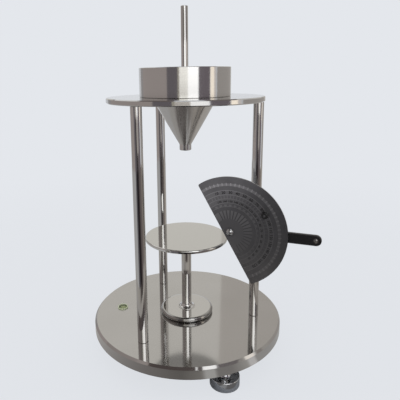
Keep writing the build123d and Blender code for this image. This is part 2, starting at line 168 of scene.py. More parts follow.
# brushed plate
satinPlate = {
    "light": "#C8C7C6", "dark": "#C0BFBD", "roughness": (0.065, 0.105), "drawnOut": 0.7,
    "grain": 0.6, "grainLength": 30,  # mm, real grit lines are near 0.1 and would not show
    "patch": 45,  # mm
    "bump": 0.012, "bumpDepth": 0.02,  # depth in mm
}


def brushedStainless(look):
    # stainless plate, ground and brushed one way: a soft mirror, drawn out across the brushing
    material, tree = startMaterial("stainless plate brushed")
    place = addNode(tree, "ShaderNodeTexCoord").outputs["Object"]
    long, short = perMm(look["grainLength"]), perMm(look["grain"])
    stretch = addNode(tree, "ShaderNodeMapping", {"Scale": (long, short, short)}, {"Vector": place})
    grain = addNode(
        tree, "ShaderNodeTexNoise", {"Scale": 1.0, "Detail": 3.0}, {"Vector": stretch.outputs[0]},
    ).outputs[0]
    cloud = addNode(
        tree, "ShaderNodeTexNoise", {"Scale": perMm(look["patch"]), "Detail": 2.0}, {"Vector": place},
    )
    colour, rough = tintAndGloss(tree, look, cloud.outputs[0], grain)
    bump = addNode(
        tree, "ShaderNodeBump", {"Strength": look["bump"], "Distance": look["bumpDepth"] * mm},
        {"Height": grain},
    )
    along = addNode(tree, "ShaderNodeTangent", direction_type="RADIAL", axis="Y")  # along X on flat faces
    endMaterial(
        tree, {"Metallic": 1.0, "Anisotropic": look["drawnOut"], "Anisotropic Rotation": quarterTurn},
        {"Base Color": colour, "Roughness": rough, "Normal": bump.outputs[0], "Tangent": along.outputs[0]},
    )
    return material


wear(("base_plate", "top_plate", "swivel_hub", "stop_collar"), brushedStainless(satinPlate))

# turned and polished pieces, with fine rings round the stand's axis
# ring and bumpDepth in mm, the real feed is near 0.1 and would not show
turning = {"ring": 0.8, "bump": 0.05, "bumpDepth": 0.02}
funnelFinish = {
    "name": "stainless turned", "light": "#CCCBCA", "dark": "#C2C1BF",
    "roughness": (0.1, 0.2), "drawnOut": 0.75,
}
tableFinish = {
    "name": "stainless turned polished", "light": "#D6D6D4", "dark": "#D0D0CE",
    "roughness": (0.04, 0.08), "drawnOut": 0.1,
}
footFinish = {
    "name": "stainless turned bright", "light": "#D2D1CF", "dark": "#CAC9C7",
    "roughness": (0.04, 0.08), "drawnOut": 0.1,
    "edge": "#A2A19F",  # painted shade: the rounded edge is greyer than the polished face, to dim its highlights
    "edgeDrop": (0.15, 0.02),  # mm below the face, where the edge's tone ends
}
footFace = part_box("table_foot")[1][2]  # height of its upper face


def turnedStainless(look):
    # stainless turned on a lathe: rings follow the tool, and light spreads across them
    material, tree = startMaterial(look["name"])
    place = addNode(tree, "ShaderNodeTexCoord").outputs["Object"]
    flat = addNode(tree, "ShaderNodeVectorMath", {1: (1, 1, 0)}, {0: place}, operation="MULTIPLY")
    radius = addNode(tree, "ShaderNodeVectorMath", links={0: flat.outputs[0]}, operation="LENGTH")
    height = addNode(tree, "ShaderNodeSeparateXYZ", links={0: place})
    travel = addNode(
        tree, "ShaderNodeMath", links={0: radius.outputs["Value"], 1: height.outputs["Z"]}, operation="ADD",
    )
    rings = addNode(
        tree, "ShaderNodeTexNoise", {"Scale": perMm(turning["ring"]), "Detail": 2.0},
        {"W": travel.outputs[0]}, noise_dimensions="1D",
    ).outputs[0]
    colour, rough = tintAndGloss(tree, look, rings, rings)
    # painted shade on the rounded edge below the foot's face
    if "edge" in look:
        span = [footFace - drop * mm for drop in look["edgeDrop"]]
        colour = toneBelow(tree, place, colour, look["edge"], span)
    bump = addNode(
        tree, "ShaderNodeBump", {"Strength": turning["bump"], "Distance": turning["bumpDepth"] * mm},
        {"Height": rings},
    )
    around = addNode(tree, "ShaderNodeTangent", direction_type="RADIAL", axis="Z")
    endMaterial(
        tree, {"Metallic": 1.0, "Anisotropic": look["drawnOut"], "Anisotropic Rotation": quarterTurn},
        {"Base Color": colour, "Roughness": rough, "Normal": bump.outputs[0], "Tangent": around.outputs[0]},
    )
    return material


wear(("funnel_skirt", "funnel_cone", "funnel_outlet", "stopper_plug"), turnedStainless(funnelFinish))
wear(("table_disc",), turnedStainless(tableFinish))
wear(("table_foot",), turnedStainless(footFinish))

# round bar
barFinish = {
    "light": "#D0CFCE", "dark": "#C7C6C4", "roughness": (0.04, 0.09),
    "line": 0.7, "lineLength": 50,  # mm, real polishing lines are near 0.05 and would not show
}


def polishedBar(look):
    # stainless bar, drawn and polished along its length: near mirror with faint long lines
    material, tree = startMaterial("stainless bar polished")
    place = addNode(tree, "ShaderNodeTexCoord").outputs["Object"]
    long, short = perMm(look["lineLength"]), perMm(look["line"])
    stretch = addNode(tree, "ShaderNodeMapping", {"Scale": (short, short, long)}, {"Vector": place})
    lines = addNode(
        tree, "ShaderNodeTexNoise", {"Scale": 1.0, "Detail": 2.0}, {"Vector": stretch.outputs[0]},
    ).outputs[0]
    colour, rough = tintAndGloss(tree, look, lines, lines)
    endMaterial(tree, {"Metallic": 1.0}, {"Base Color": colour, "Roughness": rough})
    return material


wear(("post_right", "post_rear", "post_front", "stopper_rod", "table_stem"), polishedBar(barFinish))

# screws, rivet and knobs, patch in mm
zincFinish = {
    "name": "steel zinc plated", "light": "#C9CACB", "dark": "#AEB0B2",
    "patch": 3, "roughness": (0.16, 0.3),
}
rivetFinish = {
    "name": "steel zinc plated dulled", "light": "#8C8B8A", "dark": "#72716F",
    "patch": 3, "roughness": (0.2, 0.34),
}
chromeFinish = {
    "name": "steel chrome plated", "light": "#DFE0E2", "dark": "#D2D3D6",
    "patch": 6, "roughness": (0.02, 0.05),
    "knurled": "#A0A2A6",  # the rim is greyer, partly the knurling breaking the mirror up and partly painted shade in its grooves
    "rimTop": (11.3, 11.6),  # mm, height at which the mirror takes over
}


def platedSteel(look):
    # electroplated steel: even and bright, with a slight cloudiness from the bath
    material, tree = startMaterial(look["name"])
    place = addNode(tree, "ShaderNodeTexCoord").outputs["Object"]
    cloud = addNode(
        tree, "ShaderNodeTexNoise", {"Scale": perMm(look["patch"]), "Detail": 3.0}, {"Vector": place},
    ).outputs[0]
    colour, rough = tintAndGloss(tree, look, cloud, cloud)
    # painted shade: the knurled rim below rimTop is darker than the mirror above
    if "knurled" in look:
        span = [height * mm for height in look["rimTop"]]
        colour = toneBelow(tree, place, colour, look["knurled"], span)
    endMaterial(tree, {"Metallic": 1.0}, {"Base Color": colour, "Roughness": rough})
    return material


zincPlate, dullPlate, chromePlate = (platedSteel(look) for look in (zincFinish, rivetFinish, chromeFinish))
wear(("post_screws", "table_screw", "pivot_washer", "pivot_nut", "knob_screw"), zincPlate)
wear(("arm_rivet",), dullPlate)

# dial: where it stands, and how its colour changes along its straight edge, in mm from the pivot
dialJoint = joints["protractor_turn"]
dialFront = Vector(dialJoint["axis"])
dialPlace = Vector(dialJoint["pos_m"])
dialTilt = math.radians(60.5)  # the straight edge against the arm
dialAlong = Vector((-dialFront.y, dialFront.x, 0))
dialEdge = dialAlong * math.cos(dialTilt) - upright * math.sin(dialTilt)
dialSheen = {"span": (16, 50), "gain": 1.75}  # painted sheen: the colour is lighter towards the upper end
dialLowerShade = (-22, 8)  # painted shade: etched lines are darker towards the lower end

# dark, moulded and printed surfaces, grit in mm
anodised = {
    "name": "aluminium anodised black", "light": "#88888A", "dark": "#6E6E70", "grit": 0.7, "bump": 0.06,
    "roughness": (0.26, 0.32), "metallic": 0.85,
}
coated = {
    "name": "steel powder coated black", "light": "#1F1E20", "dark": "#171618", "grit": 1.1, "bump": 0.2,
    "roughness": (0.3, 0.4), "metallic": 0.0,
}
moulded = {
    "name": "ABS moulded black", "light": "#1C1C1E", "dark": "#141416", "grit": 0.5, "bump": 0.15,
    "roughness": (0.35, 0.5), "metallic": 0.0,
}
rubber = {
    "name": "nitrile rubber moulded", "light": "#262626", "dark": "#1B1B1B", "grit": 0.8, "bump": 0.3,
    "roughness": (0.7, 0.85), "metallic": 0.0,
}
# marks of the scale, where the black is thinned or cut through
etched = {"grit": 0.4, "bump": 0.06, "roughness": (0.28, 0.34), "metallic": 0.85}
# the darker tone of each etched mark is painted shade at the dial's lower end
etchLine = {
    **etched, "name": "aluminium etched", "light": "#C0C0C2", "dark": "#B6B6B8", "darkened": "#A6A6A8",
    "metallic": 0.9,
}
etchBand = {
    **etched, "name": "aluminium etched grey", "light": "#9E9EA0", "dark": "#949496", "darkened": "#868688",
}
etchField = {**etched, "name": "aluminium anodised dark grey", "light": "#88888A", "dark": "#808082"}
etchDull = {**etched, "name": "aluminium anodised charcoal", "light": "#787879", "dark": "#707072"}
printed = {"grit": 0.4, "bump": 0.1, "roughness": (0.5, 0.6), "metallic": 0.0}
inkBlack = {**printed, "name": "ink printed black", "light": "#222224", "dark": "#1A1A1C"}
inkGreen = {**printed, "name": "ink printed green", "light": "#8A9650", "dark": "#7E8A48"}
skin = {"patch": 14, "bumpDepth": 0.05}  # mm, the same on all of these


def shareAlongDial(tree, place, span):
    reach = addNode(tree, "ShaderNodeVectorMath", {1: -dialEdge}, {0: place}, operation="DOT_PRODUCT")
    start, end = (mm * step - dialEdge.dot(dialPlace) for step in span)
    share = addNode(
        tree, "ShaderNodeMapRange", {"From Min": start, "From Max": end}, {"Value": reach.outputs["Value"]},
        interpolation_type="SMOOTHSTEP",
    )
    return share.outputs[0]


def grainedSurface(look):
    # blasted, sprayed, moulded or printed skin: a fine grain breaks the gloss and the colour a little
    material, tree = startMaterial(look["name"])
    place = addNode(tree, "ShaderNodeTexCoord").outputs["Object"]
    grain = addNode(
        tree, "ShaderNodeTexNoise", {"Scale": perMm(look["grit"]), "Detail": 4.0}, {"Vector": place},
    ).outputs[0]
    cloud = addNode(
        tree, "ShaderNodeTexNoise", {"Scale": perMm(skin["patch"]), "Detail": 3.0}, {"Vector": place},
    )
    colour, rough = tintAndGloss(tree, look, cloud.outputs[0], grain)
    # painted shade: the etched marks darken towards the dial's lower end
    if "darkened" in look:
        colour = addNode(
            tree, "ShaderNodeMix", {"A": toLinear(look["darkened"])},
            {"Factor": shareAlongDial(tree, place, dialLowerShade), "B": colour}, data_type="RGBA",
        ).outputs["Result"]
    # painted sheen: the dial's aluminium is lighter towards its upper end
    if "aluminium" in look["name"]:
        colour = addNode(
            tree, "ShaderNodeMix", {"B": (dialSheen["gain"],) * 3 + (1.0,)},
            {"Factor": shareAlongDial(tree, place, dialSheen["span"]), "A": colour},
            data_type="RGBA", blend_type="MULTIPLY",
        ).outputs["Result"]
    bump = addNode(
        tree, "ShaderNodeBump", {"Strength": look["bump"], "Distance": skin["bumpDepth"] * mm},
        {"Height": grain},
    )
    endMaterial(
        tree, {"Metallic": look["metallic"]},
        {"Base Color": colour, "Roughness": rough, "Normal": bump.outputs[0]},
    )
    return material


wear(("protractor",), grainedSurface(anodised))
wear(("arm",), grainedSurface(coated))
wear(("turning_knob",), grainedSurface(moulded))
wear(("foot_pad_front", "foot_pad_rear", "foot_pad_left"), grainedSurface(rubber))
lineEtch, bandEtch = (grainedSurface(look) for look in (etchLine, etchBand))
fieldEtch, dullEtch = (grainedSurface(look) for look in (etchField, etchDull))
blackInk, greenInk = (grainedSurface(look) for look in (inkBlack, inkGreen))

# bubble level
acrylic = {
    "tint": "#DDE6CC", "ior": 1.49, "roughness": (0.04, 0.08), "haze": 1.5,  # haze in mm
    "body": 0.1,  # share of what is below that its haze hides
}
cupLook = {
    "shadedInside": "#58622F", "paleOutside": "#D2DAB8", "roughness": (0.15, 0.25), "haze": 1.5,
    "wall": (5.25, 5.6),  # mm from the cup's axis, painted shade inside and pale outside
}
spirit = {"light": "#D3E096", "dark": "#C6D583", "roughness": 0.05, "ior": 1.36, "patch": 4}  # patch in mm
levelLow, levelHigh = (Vector(corner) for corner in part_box("level_cup"))
levelMiddle = (levelLow + levelHigh) / 2


def clearAcrylic(look):
    # turned and polished acrylic: clear, with a milky bright rim
    material, tree = startMaterial("acrylic turned clear")
    place = addNode(tree, "ShaderNodeTexCoord").outputs["Object"]
    haze = addNode(tree, "ShaderNodeTexNoise", {"Scale": perMm(look["haze"])}, {"Vector": place})
    low, high = look["roughness"]
    rough = addNode(tree, "ShaderNodeMapRange", {"To Min": low, "To Max": high}, {"Value": haze.outputs[0]})
    endMaterial(
        tree, {"Base Color": toLinear(look["tint"]), "IOR": look["ior"], "Alpha": look["body"]},
        {"Roughness": rough.outputs[0]},
    )
    return material


def dyedAcrylic(look):
    # moulded acrylic cup: pale outside, deep olive inside, where shade is painted on the inner wall
    material, tree = startMaterial("acrylic moulded green")
    place = addNode(tree, "ShaderNodeTexCoord").outputs["Object"]
    flat = addNode(
        tree, "ShaderNodeMapping", {"Location": (-levelMiddle.x, -levelMiddle.y, 0), "Scale": (1, 1, 0)},
        {"Vector": place},
    )
    away = addNode(tree, "ShaderNodeVectorMath", links={0: flat.outputs[0]}, operation="LENGTH")
    inner, outer = (edge * mm for edge in look["wall"])
    share = addNode(
        tree, "ShaderNodeMapRange", {"From Min": inner, "From Max": outer}, {"Value": away.outputs["Value"]},
    )
    haze = addNode(tree, "ShaderNodeTexNoise", {"Scale": perMm(look["haze"])}, {"Vector": place})
    shades = {"dark": look["shadedInside"], "light": look["paleOutside"], "roughness": look["roughness"]}
    colour, rough = tintAndGloss(tree, shades, share.outputs[0], haze.outputs[0])
    endMaterial(tree, {"IOR": acrylic["ior"]}, {"Base Color": colour, "Roughness": rough})
    return material


def dyedSpirit(look):
    # alcohol dyed yellow green: its colour gathers in slow clouds
    material, tree = startMaterial("spirit dyed green")
    place = addNode(tree, "ShaderNodeTexCoord").outputs["Object"]
    depth = addNode(tree, "ShaderNodeTexNoise", {"Scale": perMm(look["patch"])}, {"Vector": place})
    tint = addNode(
        tree, "ShaderNodeMix", {"A": toLinear(look["dark"]), "B": toLinear(look["light"])},
        {"Factor": depth.outputs[0]}, data_type="RGBA",
    )
    endMaterial(
        tree, {"Roughness": look["roughness"], "IOR": look["ior"]}, {"Base Color": tint.outputs["Result"]},
    )
    return material


clearCast = clearAcrylic(acrylic)
greenSpirit = dyedSpirit(spirit)
wear(("level_cup",), dyedAcrylic(cupLook))
print("materials done")


# turned pieces: a half outline of (radius, height) in mm, run round an axis
nearAxis = 0.05  # mm, where an outline ends, so that its end face has no pinched corner
filletMiddle = 0.3  # middle of a quarter round, as a share of its radius


def knurl(radius, depth, teeth):
    return lambda turn: radius - depth * abs(2 * ((turn * teeth) % 1) - 1)


def hexagon(flat):
    return lambda turn: flat / math.cos((((turn * 6) % 1) - 0.5) * math.pi / 3)


def addTurned(name, outline, steps, place, material, sharpAngle=35):
    points, faces = [], []
    for radius, height in outline:
        for i in range(steps):
            turn = i / steps
            r = radius(turn) if callable(radius) else radius
            angle = 2 * math.pi * turn
            points.append(place @ (Vector((r * math.cos(angle), r * math.sin(angle), height)) * mm))
    for ring in range(len(outline) - 1):
        for i in range(steps):
            j = (i + 1) % steps
            low, high = ring * steps, (ring + 1) * steps
            faces.append((low + i, low + j, high + j, high + i))
    faces.append(tuple(reversed(range(steps))))
    faces.append(tuple(range(len(points) - steps, len(points))))
    return addMesh(name, points, faces, material, sharpAngle)


def standing(point):
    return Matrix.Translation(Vector((point[0], point[1], 0)))


def facing(point, axis):
    return Matrix.Translation(Vector(point)) @ Vector(axis).to_track_quat("Z", "Y").to_matrix().to_4x4()


# levelling feet: knurled knob and threaded stud
knobShape = {
    "rim": 16.2, "bottom": 1.0, "top": 12.0, "bevel": 0.4,
    "recess": 13.15, "recessTop": 3.05,  # room for the rubber pad
    "neck": 6.5, "neckTop": 18.0, "neckBevel": 0.8, "root": 0.4,
    "bore": 4.05, "boreBottom": 6.0,
    "knurlDepth": 0.25, "teeth": 80,
}
studShape = {
    "radius": 4.0, "bottom": 6.02, "threadStart": 16.0, "top": 32.2,
    "depth": 0.65, "pitch": 1.25, "steps": 28, "perPitch": 4, "sharpAngle": 50,
}


def addFootKnob(place, shape):
    rim = knurl(shape["rim"], shape["knurlDepth"], shape["teeth"])
    bottom, top, neck, root = (shape[key] for key in ("bottom", "top", "neck", "root"))
    flush = shape["rim"] - shape["knurlDepth"]  # bottom of the knurling
    slope = shape["bevel"] - shape["knurlDepth"]
    outline = [
        (nearAxis, shape["recessTop"]),
        (shape["recess"], shape["recessTop"]),
        (shape["recess"], bottom),
        (shape["rim"] - shape["bevel"], bottom),
        (flush, bottom + slope),
        (rim, bottom + shape["bevel"]),
        (rim, top - shape["bevel"]),
        (flush, top - slope),
        (shape["rim"] - shape["bevel"], top),
        (neck + root, top),
        (neck + filletMiddle * root, top + filletMiddle * root),
        (neck, top + root),
        (neck, shape["neckTop"] - shape["neckBevel"]),
        (neck - shape["neckBevel"], shape["neckTop"]),
        (shape["bore"], shape["neckTop"]),
        (shape["bore"], shape["boreBottom"]),
        (nearAxis, shape["boreBottom"]),
    ]
    axis = standing(joints[f"foot_{place}_turn"]["pos_m"])
    knob = addTurned(f"knurledKnob.{place}", outline, 2 * shape["teeth"], axis, chromePlate)
    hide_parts(f"foot_knob_{place}")
    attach(knob, f"foot_{place}")


def addFootStud(place, shape):
    depth, perPitch = shape["depth"], shape["perPitch"]
    outline = [(nearAxis, shape["bottom"]), (shape["radius"] - depth, shape["bottom"])]
    rows = int((shape["top"] - shape["threadStart"]) / shape["pitch"] * perPitch)
    for row in range(rows + 1):
        height = shape["threadStart"] + row * shape["pitch"] / perPitch
        fadeOut = min(1.0, (rows - row) / perPitch)  # the last turn runs out into the point
        crest = shape["radius"] - depth * (1 - fadeOut)

        def flank(turn, start=row / perPitch, crest=crest):
            return crest - depth * abs(2 * ((start - turn) % 1) - 1)

        outline.append((flank, height))
    outline.append((nearAxis, height))
    axis = standing(joints[f"foot_{place}_turn"]["pos_m"])
    stud = addTurned(f"threadedStud.{place}", outline, shape["steps"], axis, zincPlate, shape["sharpAngle"])
    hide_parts(f"foot_stud_{place}")
    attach(stud, f"foot_{place}")


for place in ("front", "rear", "left"):
    addFootKnob(place, knobShape)
    addFootStud(place, studShape)
print("levelling feet done")

# thumb screw of the collar
thumbShape = {
    "tip": -8.9, "shank": 2.5, "headStart": 1.0, "headEnd": 11.0, "head": 5.0, "bevel": 0.8,
    "dish": (0.3, 0.4), "dishReach": 0.4,  # hollow end, depths in mm and a share of its radius
    "knurlDepth": 0.35, "teeth": 32,
}


def addThumbScrew(shape):
    joint = joints["thumb_screw_turn"]
    grip = knurl(shape["head"], shape["knurlDepth"], shape["teeth"])
    slim = shape["head"] - shape["bevel"]
    start, end = shape["headStart"], shape["headEnd"]
    shallow, deep = shape["dish"]
    outline = [
        (nearAxis, shape["tip"]),
        (shape["shank"], shape["tip"]),
        (shape["shank"], start),
        (slim, start),
        (grip, start + shape["bevel"]),
        (grip, end - shape["bevel"]),
        (slim, end),
        (shape["dishReach"] * slim, end - shallow),
        (nearAxis, end - deep),
    ]
    place = facing(joint["pos_m"], joint["axis"])
    screw = addTurned("thumbScrew", outline, 2 * shape["teeth"], place, zincPlate)
    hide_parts("collar_screw")
    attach(screw, "thumb_screw")


addThumbScrew(thumbShape)

# pivot screw with a domed head and hexagon socket, heights from the pivot
pivotShape = {
    "headStart": 1.05, "head": 4.4, "crown": 2.6, "crownSteps": 6,
    "shoulder": 2.5, "thread": 2.0, "armBack": -6.0, "end": -10.2,
    "socket": 1.25, "socketLip": 1.25, "socketDepth": 1.1,  # lip as a share of the socket
    "steps": 48,
}


def addPivotScrew(shape):
    head, crown = shape["head"], shape["crown"]
    sphere = (head ** 2 + crown ** 2) / (2 * crown)
    outline = [
        (nearAxis, shape["end"]),
        (shape["thread"], shape["end"]),
        (shape["thread"], shape["armBack"]),
        (shape["shoulder"], shape["armBack"]),
        (shape["shoulder"], shape["headStart"]),
    ]
    for i in range(shape["crownSteps"] + 1):
        r = head - (head - shape["socketLip"] * shape["socket"]) * i / shape["crownSteps"]
        rise = math.sqrt(sphere ** 2 - r ** 2) - (sphere - crown)
        outline.append((r, shape["headStart"] + rise))
    socketTop = outline[-1][1]
    socketFloor = socketTop - shape["socketDepth"]
    key = hexagon(shape["socket"])
    outline += [(key, socketTop), (key, socketFloor), (nearAxis, socketFloor)]
    screw = addTurned("pivotScrew", outline, shape["steps"], facing(dialPlace, dialFront), zincPlate)
    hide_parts("pivot_screw")
    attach(screw, "swing_arm")


addPivotScrew(pivotShape)

# flush screws that hold the arm on its hub, measured from the pivot
armScrewShape = {
    "reaches": (16.2, 34.2), "face": -2.05, "head": 3.95, "shank": 2.0, "end": -14.9,
    "socket": 1.25, "socketDepth": 1.4, "steps": 36,
}


def addArmScrews(shape):
    key = hexagon(shape["socket"])
    face, shank = shape["face"], shape["shank"]
    outline = [
        (nearAxis, shape["end"]),
        (shank, shape["end"]),
        (shank, face - shape["head"] + shank),
        (shape["head"], face),
        (key, face),
        (key, face - shape["socketDepth"]),
        (nearAxis, face - shape["socketDepth"]),
    ]
    for i, reach in enumerate(shape["reaches"]):
        place = facing(dialPlace + dialAlong * reach * mm, dialFront)
        screw = addTurned(f"armScrew.{i}", outline, shape["steps"], place, zincPlate)
        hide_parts("arm_screws")
        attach(screw, "swing_arm")


addArmScrews(armScrewShape)
print("screws done")

# liquid of the level, its printed mark, the bubble under the mark, and the window over them
levelShape = {
    "radius": 5.1, "floor": 35.05, "surface": 36.3, "under": 38.85,  # under is the window's lower side
    "ring": 2.1, "ringWidth": 0.12, "ringDepth": 0.04,
    "bubble": 1.5, "bubbleDrop": 0.5, "bubbleSteps": 6,
    "steps": 48,
}
windowShape = {
    "radius": 6.5, "inner": 5.2, "gap": 0.03, "bevel": 0.2,
    "dome": 0.35, "domeMiddle": (0.5, 0.75),  # hollow below, its middle as shares of inner and dome
}


def addLevelWindow(shape, steps):
    low, high = (corner[2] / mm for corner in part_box("level_lens"))
    seat, full = low + shape["gap"], shape["radius"]
    across, rise = shape["domeMiddle"]
    outline = [
        (nearAxis, seat + shape["dome"]),
        (across * shape["inner"], seat + rise * shape["dome"]),
        (shape["inner"], seat),
        (full, seat),
        (full, high - shape["bevel"]),
        (full - shape["bevel"], high),
        (nearAxis, high),
    ]
    window = addTurned("levelWindow", outline, steps, standing(levelMiddle), clearCast)
    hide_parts("level_lens")
    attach(window, "stand")


def addLevelLiquid(shape):
    place, steps, under = standing(levelMiddle), shape["steps"], shape["under"]
    full, floor, top = shape["radius"], shape["floor"], shape["surface"]
    pool = [(nearAxis, floor), (full, floor), (full, top), (nearAxis, top)]
    liquid = addTurned("levelSpirit", pool, steps, place, greenSpirit)
    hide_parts("level_fluid")
    inner, outer, upper = shape["ring"] - shape["ringWidth"], shape["ring"], under + shape["ringDepth"]
    band = [(inner, under), (outer, under), (outer, upper), (inner, upper)]
    mark = addTurned("levelRing", band, steps, place, greenInk)
    drop = [(nearAxis, under - shape["bubbleDrop"])]
    for i in range(1, shape["bubbleSteps"] + 1):
        angle = math.pi / 2 * i / shape["bubbleSteps"]
        drop.append((shape["bubble"] * math.sin(angle), under - shape["bubbleDrop"] * math.cos(angle)))
    drop.append((nearAxis, under))
    air = addTurned("levelBubble", drop, steps, place, clearCast)
    for piece in (liquid, mark, air):
        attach(piece, "stand")


addLevelLiquid(levelShape)
addLevelWindow(windowShape, levelShape["steps"])
print("level done")

# scale etched into the protractor, radii as shares of its own, widths in mm
scaleShape = {
    "face": 1.0,  # mm from the joint to the printed face
    "radius": 66.0,
    "edge": 7.0,  # mm from the centre to the straight edge
    "margin": 1.0,  # mm between the bands and the straight edge
    "layer": 0.04,  # mm, ink is nearer 0.02
    "ticks": ((1, 0.882, 0.16), (5, 0.89, 1.3)),  # step in degrees, outer end, width
    "tickStart": 0.838,
    "arcs": ((0.757, 0.4), (0.68, 0.4), (0.61, 0.3), (0.535, 0.3), (0.47, 0.3)),  # radius, width
    "arcSteps": 60,
    "bands": ((0.25, 0.4), (0.838, 0.882)),
    "fields": ((0.1, 0.248), (0.53, 0.605), (0.685, 0.752)),
    "rays": (0.25, 0.4, 10, 1.4),  # inner end, outer end, step, width
    "dashes": ((0.618, 0.668, 5, 0.7), (0.478, 0.505, 10, 3.0)),
}
numberRows = (
    {"share": 0.719, "size": 4.6, "step": 10, "backwards": True},
    {"share": 0.56, "size": 3.5, "step": 10, "backwards": False},
)
boldness = 0.03  # stroke added to the digits, as a share of their size


def dialFrame(shape):
    middle = dialAlong * math.sin(dialTilt) + upright * math.cos(dialTilt)
    turn = Matrix((dialEdge, middle, dialFront)).transposed().to_4x4()
    return Matrix.Translation(dialPlace + dialFront * shape["face"] * mm) @ turn


def newPrint(place):
    return {"place": place, "points": [], "faces": []}  # closed strips on the dial's face


def addStrip(ink, inner, outer, bottom, top):
    points, start, count = ink["points"], len(ink["points"]), len(inner)
    for line, height in ((inner, bottom), (outer, bottom), (outer, top), (inner, top)):
        points += [ink["place"] @ (Vector((x, y, height)) * mm) for x, y in line]
    for i in range(count - 1):
        for side in range(4):
            a, b = start + side * count + i, start + (side + 1) % 4 * count + i
            ink["faces"].append((a, a + 1, b + 1, b))
    ink["faces"].append(tuple(start + side * count for side in range(4)))
    ink["faces"].append(tuple(start + side * count + count - 1 for side in reversed(range(4))))


def addNumber(ink, text, size, centre, turn, bottom, top):
    curve = bpy.data.curves.new("digits", "FONT")
    curve.body, curve.size, curve.extrude, curve.resolution_u = text, size, (top - bottom) / 2, 2
    curve.align_x, curve.align_y = "CENTER", "CENTER"
    curve.offset = boldness * size
    holder = bpy.data.objects.new("digits", curve)
    scene.collection.objects.link(holder)
    mesh = bpy.data.meshes.new_from_object(holder.evaluated_get(bpy.context.evaluated_depsgraph_get()))
    lie = Matrix.Translation((centre[0], centre[1], (bottom + top) / 2)) @ Matrix.Rotation(turn, 4, "Z")
    start = len(ink["points"])
    ink["points"] += [ink["place"] @ ((lie @ vertex.co) * mm) for vertex in mesh.vertices]
    ink["faces"] += [tuple(start + i for i in polygon.vertices) for polygon in mesh.polygons]
    bpy.data.objects.remove(holder)
    bpy.data.curves.remove(curve)
    bpy.data.meshes.remove(mesh)


def finishPrint(ink, name, material):
    piece = addMesh(name, ink["points"], ink["faces"], material)
    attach(piece, "dial")


def polar(radius, degrees):
    return (radius * math.cos(math.radians(degrees)), radius * math.sin(math.radians(degrees)))


def arcLine(shape, radius):
    # half circle, drawn on past its ends almost to the straight edge
    below = shape["edge"] - shape["margin"]
    extra = math.degrees(math.asin(min(1, below / radius)))
    steps = shape["arcSteps"]
    return [polar(radius, -extra + (180 + 2 * extra) * i / steps) for i in range(steps + 1)]


def addRay(ink, angle, inner, outer, width, bottom, top):
    across = Vector(polar(width / 2, angle + 90))
    ends = [Vector(polar(inner, angle)), Vector(polar(outer, angle))]
    addStrip(ink, [tuple(end + across) for end in ends], [tuple(end - across) for end in ends], bottom, top)


def addScale(shape, rows):
    place = dialFrame(shape)
    full, layer = shape["radius"], shape["layer"]
    lower, upper = layer / 2, 1.5 * layer  # lines lie over the bands and fields
    lines, bands, fields, rays = (newPrint(place) for _ in range(4))
    for ink, spans in ((bands, shape["bands"]), (fields, shape["fields"])):
        for inner, outer in spans:
            addStrip(ink, arcLine(shape, inner * full), arcLine(shape, outer * full), 0, layer)
    for share, width in shape["arcs"]:
        inner, outer = (arcLine(shape, share * full + side * width / 2) for side in (-1, 1))
        addStrip(lines, inner, outer, lower, upper)
    for angle in range(0, 181):
        outer, width = max((outer, width) for step, outer, width in shape["ticks"] if angle % step == 0)
        addRay(lines, angle, shape["tickStart"] * full, outer * full, width, lower, upper)
    for ink, row in [(rays, shape["rays"])] + [(bands, row) for row in shape["dashes"]]:
        inner, outer, step, width = row
        for angle in range(0, 181, step):
            addRay(ink, angle, inner * full, outer * full, width, lower, upper)
    finishPrint(fields, "dialFields", fieldEtch)
    finishPrint(bands, "dialBands", bandEtch)
    finishPrint(lines, "dialLines", lineEtch)
    finishPrint(rays, "dialRays", dullEtch)
    for i, row in enumerate(rows):
        digits = newPrint(place)
        for angle in range(row["step"], 180, row["step"]):
            shown = 180 - angle if row["backwards"] else angle
            centre = polar(row["share"] * full, angle)
            addNumber(digits, str(shown), row["size"], centre, math.radians(angle - 90), lower, 2 * layer)
        finishPrint(digits, f"dialNumbers.{i}", blackInk)


addScale(scaleShape, numberRows)
print("protractor done")

# stage: pale floor, backdrop colour and the panels that the steel mirrors
studio = {
    "backdrop": "#E4E7EC",
    "shadowShare": 0.12,  # how much of the floor's shadow the camera sees
    "fill": "#FFFFFF", "fillLevel": 0.8,
    "floorRadius": 2.5, "floorSides": 96,  # radius in m
    "fade": (0.35, 1.1),  # m from the stand, the floor runs out into the backdrop
    "fibre": 2, "bump": 0.05, "bumpDepth": 0.05,  # fibre and depth in mm, real fibres are finer
    "front": -81.75,  # degrees, the way from the stand to the camera
    "tentRadius": 1.2,  # m
    "panelGrid": (8, 12), "ringGrid": (4, 120),  # rows and columns of faces
    "ringLift": 1,  # mm over the floor
}
